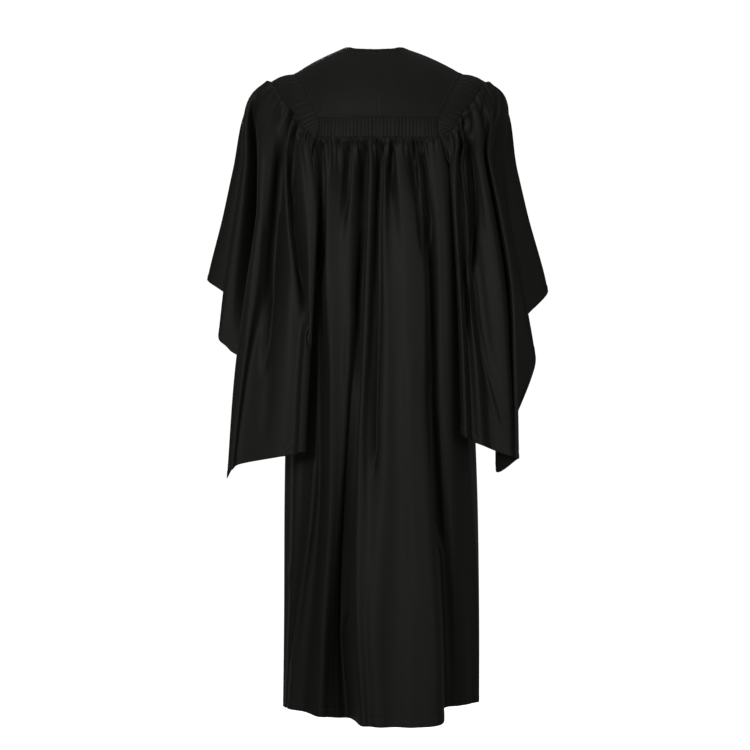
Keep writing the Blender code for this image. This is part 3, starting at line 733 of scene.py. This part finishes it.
FRONT_LEVELS = (-200, -300, -620, -1000, -1240)
FRONT_FOLDS = (
    # start on the seam, x at each level, y at each level, hem
    (0.0, (62, 63, 68, 76, 80), (-120, -125, -128, -124, -120), -1232),
    (0.35, (84, 84, 88, 96, 102), (-120, -126, -134, -140, -144), -1231),
    (0.65, (104, 104, 104, 112, 118), (-112, -110, -108, -104, -102), -1230),
    (1.0, (124, 122, 120, 130, 136), (-106, -112, -118, -120, -120), -1229),
    (2.0, (142, 140, 140, 147, 152), (-84, -86, -78, -72, -70), -1227),
    (3.0, (152, 154, 156, 162, 166), (-60, -62, -60, -56, -54), -1225),
)
FRONT_TURN = 30.0


def side_seam(side):
    """The side seam's line, which the back and the front share."""
    fold = BACK_FOLDS[0] if side == "left" else BACK_FOLDS[-1]
    return hanging_line(armhole_seam(side, UNDERARM)[0], BACK_LEVELS, fold[1], fold[2])


def front_rows(side):
    """Rows of a front's points, from the yoke's seam down to the hem."""
    edge_columns = np.linspace(0, 0.5, 46, endpoint=False)
    positions = np.concatenate([edge_columns, np.linspace(0.5, 4, 110)])
    shares = np.concatenate([
        np.linspace(0, 0.1, 18, endpoint=False),
        np.linspace(0.1, 0.975, 60, endpoint=False),
        np.linspace(0.975, 1, 14),
    ])
    starts = [fold[0] for fold in FRONT_FOLDS] + [4.0]
    tops = front_top(side, np.array(starts))
    seam, left_seam = side_seam(side), side_seam("left")
    spread = at_heights(seam, FRONT_LEVELS)[:, 0] / at_heights(left_seam, FRONT_LEVELS)[:, 0]
    lines = [
        hanging_line(top, FRONT_LEVELS, fold[1] * spread, fold[2])
        for top, fold in zip(tops, FRONT_FOLDS)
    ]
    lines.append(seam)
    hems = [fold[3] for fold in FRONT_FOLDS]
    hems.append(BACK_FOLDS[0][3] if side == "left" else BACK_FOLDS[-1][3])
    knots = np.array([
        at_heights(line, top[2] + (hem - top[2]) * shares)
        for line, top, hem in zip(lines, tops, hems)
    ])
    ranks = np.interp(positions, starts, range(len(starts)))
    edge = front_top(side, positions)
    drift = edge - curve_points(tops, ranks)
    rows = np.array([
        curve_points(knots[:, number], ranks) + drift * (1 - smooth(np.array(share / 0.1)))
        for number, share in enumerate(shares)
    ])
    if side == "left":
        rows, positions, edge = rows[:, ::-1], positions[::-1], edge[::-1]
    normals = sheet_normals(rows, False)
    fall = 1110.0
    drops = edge[None, :, 2] - rows[..., 2]
    shaped = soft_folds(across_cloth(rows, 0.6), drops, fall, 21 if side == "left" else 22, 14, 15.0, 1.8)
    for number, share in enumerate(shares):
        lift = shaped[number] + gathers(positions, 0, 1, 5, drops[number], 0.9, 120, 23)
        run = np.cumsum(np.linalg.norm(np.diff(rows[number], axis=0, prepend=rows[number][:1]), axis=1))
        lift = lift + edge_fold((1 - share) * fall, HEM_TURN, run, 17.0) * smooth((4 - positions) / 0.2)
        from_edge = np.abs(run - (run[-1] if side == "left" else 0.0))
        lift = lift + 0.35 * smooth((FRONT_TURN - from_edge) / 1.5)
        rows[number] = rows[number] + normals[number] * lift[:, None]
    rows[0][:, 2] += TUCKED_UNDER * (positions < 1)
    rows[0][:, 1] += 1.2 * (positions < 1)
    return rows


for side in ("left", "right"):
    front_points = front_rows(side)
    front = make_sheet(f"front_{side}_panel", front_points, gown_cloth)
    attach(front, "root")
    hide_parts(f"front_{side}")
    front_normals = sheet_normals(front_points, False)
    make_stitches(
        f"front_{side}_hem_stitches",
        front_points[HEM_STITCH_ROW] + front_normals[HEM_STITCH_ROW] * 0.4,
        front_normals[HEM_STITCH_ROW],
        sewing_thread,
    )


# The sleeves' fluted heads: the sleeve's own top, drawn up on holding stitches into flutes that
# fan from the armhole seam, wide over the shoulder and narrowing to the front and back corners.

FLUTES_SLEEVE = 28
HEAD_ROWS = 26


def sleeve_head_rows(side):
    """Rows of a fluted head's points, from the armhole's seam out to the sleeve."""
    start, end = FRONT_CORNER, STATIONS + GATHER_CORNER
    stations = np.linspace(start + 0.02, end - 0.02, FLUTES_SLEEVE * SAMPLES_A_FLUTE + 1)
    seam = armhole_seam(side, stations)
    across = head_edge(side, stations) - seam
    width = np.linalg.norm(across, axis=1, keepdims=True)
    along = np.gradient(seam, axis=0)
    lift_way = np.cross(along, across)
    lift_way /= np.linalg.norm(lift_way, axis=1, keepdims=True)
    outward = lift_way[:, 2] + lift_way[:, 1] * np.sign(seam[:, 1]) < 0
    lift_way[outward] *= -1
    rows = []
    for share in np.linspace(0, 1, HEAD_ROWS):
        raised = flute_relief(stations, start, end, FLUTES_SLEEVE, share)
        crown = width[:, 0] * 0.07 * math.sin(math.pi * share)
        tuck = -SEWN_UNDER * (1 - smooth(np.array(share / 0.12)))
        inset = -TUCKED_UNDER * (1 - smooth(np.array(share / 0.12)))
        lift = crown + raised * (0.55 + 0.45 * math.sin(math.pi * share)) + tuck
        rows.append(seam + across * share + across / width * inset + lift_way * lift[:, None])
    rows = np.array(rows)
    return rows if side == "left" else rows[:, ::-1]


for side in ("left", "right"):
    # The heads wear the same darker copy of the cloth: painted shade over their flutes.
    head = make_sheet(f"sleeve_{side}_fluted_head", sleeve_head_rows(side), fluted_cloth)
    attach(head, "root")
    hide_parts(f"sleeve_{side}_fluting")


# The sleeves: wide pointed bells gathered into the fluted heads. The hem is high in front and
# falls to a point behind, so the outer edge steps down in three folded tiers.

SLEEVE_LEVELS = (-220, -300, -430, -600, -780)
LEFT_SLEEVE = (
    # start round the head, x at each level, y at each level, hem
    (0.0, (253, 264, 283, 300, 306), (-8, -5, 0, 6, 10), -530),
    (0.13, (240, 246, 262, 278, 286), (0, 3, 9, 14, 18), -556),
    (0.3, (212, 214, 230, 236, 240), (-38, -46, -18, 24, 32), -606),
    (0.6, (219, 220, 238, 259, 271), (58, 68, 80, 88, 95), -780),
    (0.95, (205, 209, 219, 244, 263), (88, 98, 106, 110, 110), -777),
    (1.4, (180, 185, 194, 230, 250), (78, 84, 90, 98, 104), -767),
    (1.65, (168, 164, 158, 168, 185), (100, 114, 124, 132, 133), -754),
    (1.85, (156, 151, 134, 142, 152), (96, 106, 120, 136, 138), -749),
    (2.3, (136, 128, 122, 132, 140), (118, 130, 141, 149, 149), -744),
    (3.0, (112, 108, 111, 122, 130), (115, 126, 134, 138, 138), -740),
    (3.8, (130, 132, 138, 150, 156), (98, 102, 104, 108, 110), -705),
    (5.0, (170, 174, 182, 188, 192), (74, 78, 84, 88, 88), -620),
    (6.0, (182, 186, 192, 194, 196), (4, 6, 10, 14, 16), -505),
    (7.0, (170, 176, 188, 192, 194), (-58, -60, -60, -56, -54), -425),
    (8.0, (150, 160, 174, 182, 184), (-112, -122, -128, -128, -128), -396),
    (8.8, (176, 186, 198, 206, 210), (-102, -106, -108, -108, -108), -386),
    (9.4, (204, 217, 232, 242, 246), (-116, -126, -132, -132, -132), -388),
    (9.85, (224, 238, 256, 268, 272), (-88, -93, -96, -96, -96), -398),
    (10.2, (248, 266, 292, 308, 312), (-82, -92, -100, -100, -100), -412),
    (10.55, (269, 287, 320, 338, 342), (-50, -56, -62, -62, -62), -424),
    (10.8, (236, 250, 271, 284, 288), (-30, -32, -34, -34, -34), -464),
)
RIGHT_SLEEVE = (
    # start round the head, x at each level, y at each level, hem
    (0.0, (242, 250, 272, 300, 308), (-6, -2, 4, 8, 10), -582),
    (0.3, (198, 206, 214, 220, 222), (22, 26, 32, 34, 36), -774),
    (0.55, (214, 230, 250, 257, 260), (60, 70, 80, 86, 88), -758),
    (0.7, (209, 225, 246, 253, 257), (70, 80, 88, 92, 93), -757),
    (0.85, (203, 219, 240, 247, 252), (48, 54, 64, 84, 95), -755),
    (0.98, (198, 212, 232, 242, 248), (82, 92, 100, 106, 107), -753),
    (1.12, (190, 201, 219, 234, 244), (90, 100, 108, 112, 112), -752),
    (1.4, (166, 172, 180, 200, 214), (80, 88, 96, 108, 112), -740),
    (1.65, (160, 164, 170, 184, 196), (102, 116, 124, 130, 130), -732),
    (1.85, (152, 154, 160, 170, 178), (100, 110, 118, 124, 126), -725),
    (2.3, (144, 146, 152, 160, 166), (120, 131, 139, 143, 143), -718),
    (3.0, (134, 138, 146, 152, 156), (112, 123, 129, 131, 131), -710),
    (3.8, (150, 154, 158, 164, 170), (96, 98, 100, 104, 106), -700),
    (5.0, (178, 182, 188, 196, 202), (50, 52, 54, 56, 56), -640),
    (6.0, (190, 196, 202, 208, 210), (4, 6, 8, 10, 10), -520),
    (7.0, (178, 184, 196, 204, 208), (-58, -60, -62, -60, -60), -430),
    (8.0, (158, 168, 182, 190, 194), (-112, -120, -126, -126, -126), -400),
    (8.8, (184, 196, 208, 218, 222), (-104, -110, -112, -112, -112), -392),
    (9.4, (212, 226, 242, 256, 260), (-116, -126, -134, -134, -134), -396),
    (9.85, (232, 246, 262, 278, 282), (-88, -92, -94, -94, -94), -406),
    (10.2, (252, 272, 300, 326, 330), (-80, -90, -98, -98, -98), -424),
    (10.55, (269, 287, 322, 344, 348), (-50, -56, -62, -62, -62), -448),
    (10.8, (228, 234, 258, 276, 280), (-28, -30, -32, -32, -32), -516),
)
GATHERS_SLEEVE = 20
HEAD_SHARE = 0.26
HEAD_DROOP = 1.6
SLEEVE_HEM_TURN = 12.0
SLEEVE_CREASES = {
    "left": (
        # x, z down the line, width, height, least y
        (((209, -150), (212, -240), (213, -340)), 6.0, 3.0, 10),
        (((156, -100), (160, -125), (171, -175), (179, -230), (186, -330), (196, -467), (207, -613)), 4.8, -17, 15),
        (((186, -146), (194, -240), (204, -360)), 6.0, 3.0, 15),
        (((148, -126), (152, -160), (155, -194), (156, -250), (151, -340), (133, -450), (117, -570)), 4.2, -14, 30),
        (((165, -186), (163, -280), (149, -430), (134, -550)), 5.0, 2.4, 30),
        (((142, -126), (139, -165), (138, -200)), 3.5, -5.0, 30),
        (((128, -142), (127, -170)), 3.0, -4.0, 30),
        (((214, -300), (226, -430), (240, -590), (252, -720)), 6.0, 2.0, 40),
        (((196, -330), (190, -470), (196, -620), (206, -740)), 9.0, -2.4, 40),
    ),
    "right": (
        (((-152, -140), (-156, -190), (-158, -230), (-160, -322), (-163, -467), (-167, -558)), 3.8, -12.0, 40),
        (((-161, -120), (-168, -165), (-173, -213), (-178, -260), (-180, -322), (-172, -449)), 4.4, -15, 30),
        (((-165, -186), (-166, -320), (-165, -440)), 4.5, 2.4, 40),
        (((-196, -96), (-204, -150), (-212, -200)), 5.0, -8.0, 5),
        (((-182, -176), (-194, -240), (-211, -350)), 7.0, 3.0, 20),
        (((-155, -95), (-158, -125)), 3.2, -4.0, 30),
        (((-136, -142), (-132, -166)), 3.0, -4.0, 30),
        (((-172, -345), (-188, -520), (-203, -590), (-229, -680), (-243, -730)), 4.0, 2.8, 30),
        (((-164, -380), (-180, -520), (-195, -590), (-220, -680), (-234, -730)), 5.0, -2.4, 30),
        (((-190, -330), (-206, -470), (-222, -590)), 8.0, 2.0, 30),
    ),
}


def head_curves(edge, out, line, foot_height, shares):
    """Points between the head's edge and a height below: out of the seam first, then down."""
    foot = at_heights(line, foot_height)[0]
    below = at_heights(line, foot_height - 20)[0]
    reach = np.linalg.norm(foot - edge)
    first = edge + out * reach * 0.42
    last = foot + (foot - below) / 20 * reach * 0.42
    t = shares[:, None]
    return edge * (1 - t) ** 3 + 3 * first * t * (1 - t) ** 2 + 3 * last * t * t * (1 - t) + foot * t**3


def sleeve_rows(side, folds):
    """Rings of a sleeve's points, from the fluted head down to the hem."""
    sign = 1 if side == "left" else -1
    corner = STATIONS + GATHER_CORNER
    stations = np.concatenate([
        np.linspace(FRONT_CORNER, corner, 300, endpoint=False),
        np.linspace(corner, FRONT_CORNER + STATIONS, 90, endpoint=False),
    ])
    shares = np.concatenate([
        np.linspace(0, 0.08, 22, endpoint=False),
        np.linspace(0.08, HEAD_SHARE, 20, endpoint=False),
        np.linspace(HEAD_SHARE, 0.96, 46, endpoint=False),
        np.linspace(0.96, 1, 14),
    ])
    starts = np.array([fold[0] for fold in folds])
    looped = [*starts, starts[0] + STATIONS]
    ranks = np.interp(stations % STATIONS, looped, range(len(looped)))
    edges = head_edge(side, starts)
    outs = edges - armhole_seam(side, starts)
    outs /= np.linalg.norm(outs, axis=1, keepdims=True)
    outs[:, 2] -= HEAD_DROOP * smooth(starts / 1.5) * (starts < UNDERARM)
    outs /= np.linalg.norm(outs, axis=1, keepdims=True)
    knots = []
    for edge, out, (_, xs, ys, hem) in zip(edges, outs, folds):
        line = hanging_line(edge, SLEEVE_LEVELS, xs, ys, sign)
        foot = line[1, 0]
        line = line[1:] if len(line) > 2 else line
        head = head_curves(edge, out, line, foot, shares[shares < HEAD_SHARE] / HEAD_SHARE)
        fall = (shares[shares >= HEAD_SHARE] - HEAD_SHARE) / (1 - HEAD_SHARE)
        knots.append(np.concatenate([head, at_heights(line, foot + (hem - foot) * fall)]))
    knots = np.array(knots)
    rim = head_edge(side, stations)
    drift = rim - curve_points(edges, ranks, closed=True)
    rows = np.array([
        curve_points(knots[:, number], ranks, closed=True) + drift * (1 - smooth(np.array(share / 0.08)))
        for number, share in enumerate(shares)
    ])
    normals = sheet_normals(rows, True) * sign
    lengths = np.linalg.norm(np.diff(rows, axis=0), axis=2).sum(axis=0)
    drops = np.linalg.norm(rows - rim[None], axis=2)
    seed = 35 if side == "left" else 46
    shaped = soft_folds(across_cloth(rows, 0.7), drops, 520.0, seed, 60, 15.0, 2.2)
    shaped += placed_creases(rows, normals, SLEEVE_CREASES[side])
    for number, share in enumerate(shares):
        drop = drops[number]
        lift = shaped[number]
        lift = lift + seam_puff(stations, FRONT_CORNER, corner, drop)
        lift = lift + gathers(stations, FRONT_CORNER, corner, FLUTES_SLEEVE, drop, 1.9, 16, 33)
        lift = lift + gathers(stations, FRONT_CORNER, corner, GATHERS_SLEEVE, drop, 2.1, 40, seed + 1)
        lift = lift + gathers(stations, FRONT_CORNER, corner, 11, drop, 2.2, 130, seed + 2)
        run = np.cumsum(np.linalg.norm(np.diff(rows[number], axis=0, prepend=rows[number][:1]), axis=1))
        lift = lift + edge_fold((1 - share) * lengths, SLEEVE_HEM_TURN, run, 15.0)
        rows[number] = rows[number] + normals[number] * lift[:, None]
    gathered = stations < corner
    tuck = rim - armhole_seam(side, stations)
    tuck *= TUCKED_UNDER / np.linalg.norm(tuck, axis=1, keepdims=True)
    rows[0] = np.where(
        gathered[:, None], rim - tuck - normals[0] * SEWN_UNDER, armhole_seam(side, stations)
    )
    return rows if side == "left" else rows[:, ::-1]


for side, folds in (("left", LEFT_SLEEVE), ("right", RIGHT_SLEEVE)):
    sleeve_points = sleeve_rows(side, folds)
    sleeve = make_sheet(f"sleeve_{side}_bell", sleeve_points, gown_cloth, closed=True)
    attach(sleeve, "root")
    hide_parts(f"sleeve_{side}")
    sleeve_normals = sheet_normals(sleeve_points, True)
    looped_row = np.concatenate([sleeve_points[HEM_STITCH_ROW], sleeve_points[HEM_STITCH_ROW][:1]])
    looped_normals = np.concatenate([sleeve_normals[HEM_STITCH_ROW], sleeve_normals[HEM_STITCH_ROW][:1]])
    make_stitches(
        f"sleeve_{side}_hem_stitches", looped_row + looped_normals * 0.4, looped_normals, sewing_thread
    )


# The plain studio: a pale floor below the gown, a white surround, and large soft lights.
# The camera stands level with the gown's middle, straight behind it.

FLOOR_DROP = 1.46
bpy.ops.mesh.primitive_circle_add(vertices=96, radius=9.0, fill_type="NGON", location=(0, 0, -FLOOR_DROP))
floor = bpy.context.object
floor.name = "studio_floor"
pale = bpy.data.materials.new("pale_floor")
pale.use_nodes = True
paint = pale.node_tree.nodes["Principled BSDF"].inputs
paint["Base Color"].default_value = (0.93, 0.93, 0.93, 1)
paint["Roughness"].default_value = 0.9
paint["Emission Color"].default_value = (1, 1, 1, 1)
paint["Emission Strength"].default_value = 0.86
floor.data.materials.append(pale)
floor.visible_diffuse = False
floor.visible_glossy = False

scene = bpy.context.scene
scene.view_settings.view_transform = "Standard"
world = bpy.data.worlds.new("white_surround")
world.use_nodes = True
scene.world = world
surround = Signal(world.node_tree)
background = world.node_tree.nodes["Background"]
background.inputs["Color"].default_value = (1.0, 1.0, 1.0, 1.0)
seen = surround.node("ShaderNodeLightPath", output=0)
strength = seen * 0.9 + 0.14
world.node_tree.links.new(strength.socket, background.inputs["Strength"])

LIGHTS = (
    # name, place, aims at, size, power
    ("key_softbox", (1.3, 2.95, 0.15), (0, 0, -0.25), 1.2, 11.8),
    ("fill_softbox", (-1.7, 3.0, -0.1), (0, 0, -0.35), 1.4, 5.8),
    ("front_softbox", (0.8, -3.8, 0.6), (0, 0, -0.6), 1.8, 14.0),
)


def aim(thing, place, target):
    """Puts a light or camera at a place, its -Z towards a target, its Y up."""
    place = np.array(place, float)
    back = place - np.array(target, float)
    back /= np.linalg.norm(back)
    side = np.cross([0.0, 0.0, 1.0], back)
    side /= np.linalg.norm(side)
    top = np.cross(back, side)
    turned = np.eye(4)
    turned[:3] = np.column_stack([side, top, back, place])
    thing.matrix_world = mathutils.Matrix(turned.tolist())


for name, place, target, size, power in LIGHTS:
    lamp = bpy.data.lights.new(name, "AREA")
    lamp.shape = "DISK"
    lamp.size = size
    lamp.energy = power
    lamp.spread = math.radians(85)
    light = bpy.data.objects.new(name, lamp)
    bpy.context.collection.objects.link(light)
    aim(light, place, target)

overhead = bpy.data.lights.new("overhead_sky", "SUN")
overhead.energy = 0.35
overhead.angle = math.radians(60)
bpy.context.collection.objects.link(bpy.data.objects.new("overhead_sky", overhead))

CAMERA_DISTANCE = 4.5
VIEW_WIDTH = 1.4025
VIEW_CENTRE = (0.0019, -0.604)
camera_data = bpy.data.cameras.new("camera")
camera_data.sensor_width = 36.0
camera_data.lens = 36.0 * CAMERA_DISTANCE / VIEW_WIDTH
camera = bpy.data.objects.new("camera", camera_data)
bpy.context.collection.objects.link(camera)
aim(camera, (VIEW_CENTRE[0], CAMERA_DISTANCE, VIEW_CENTRE[1]), (VIEW_CENTRE[0], 0, VIEW_CENTRE[1]))
scene.camera = camera
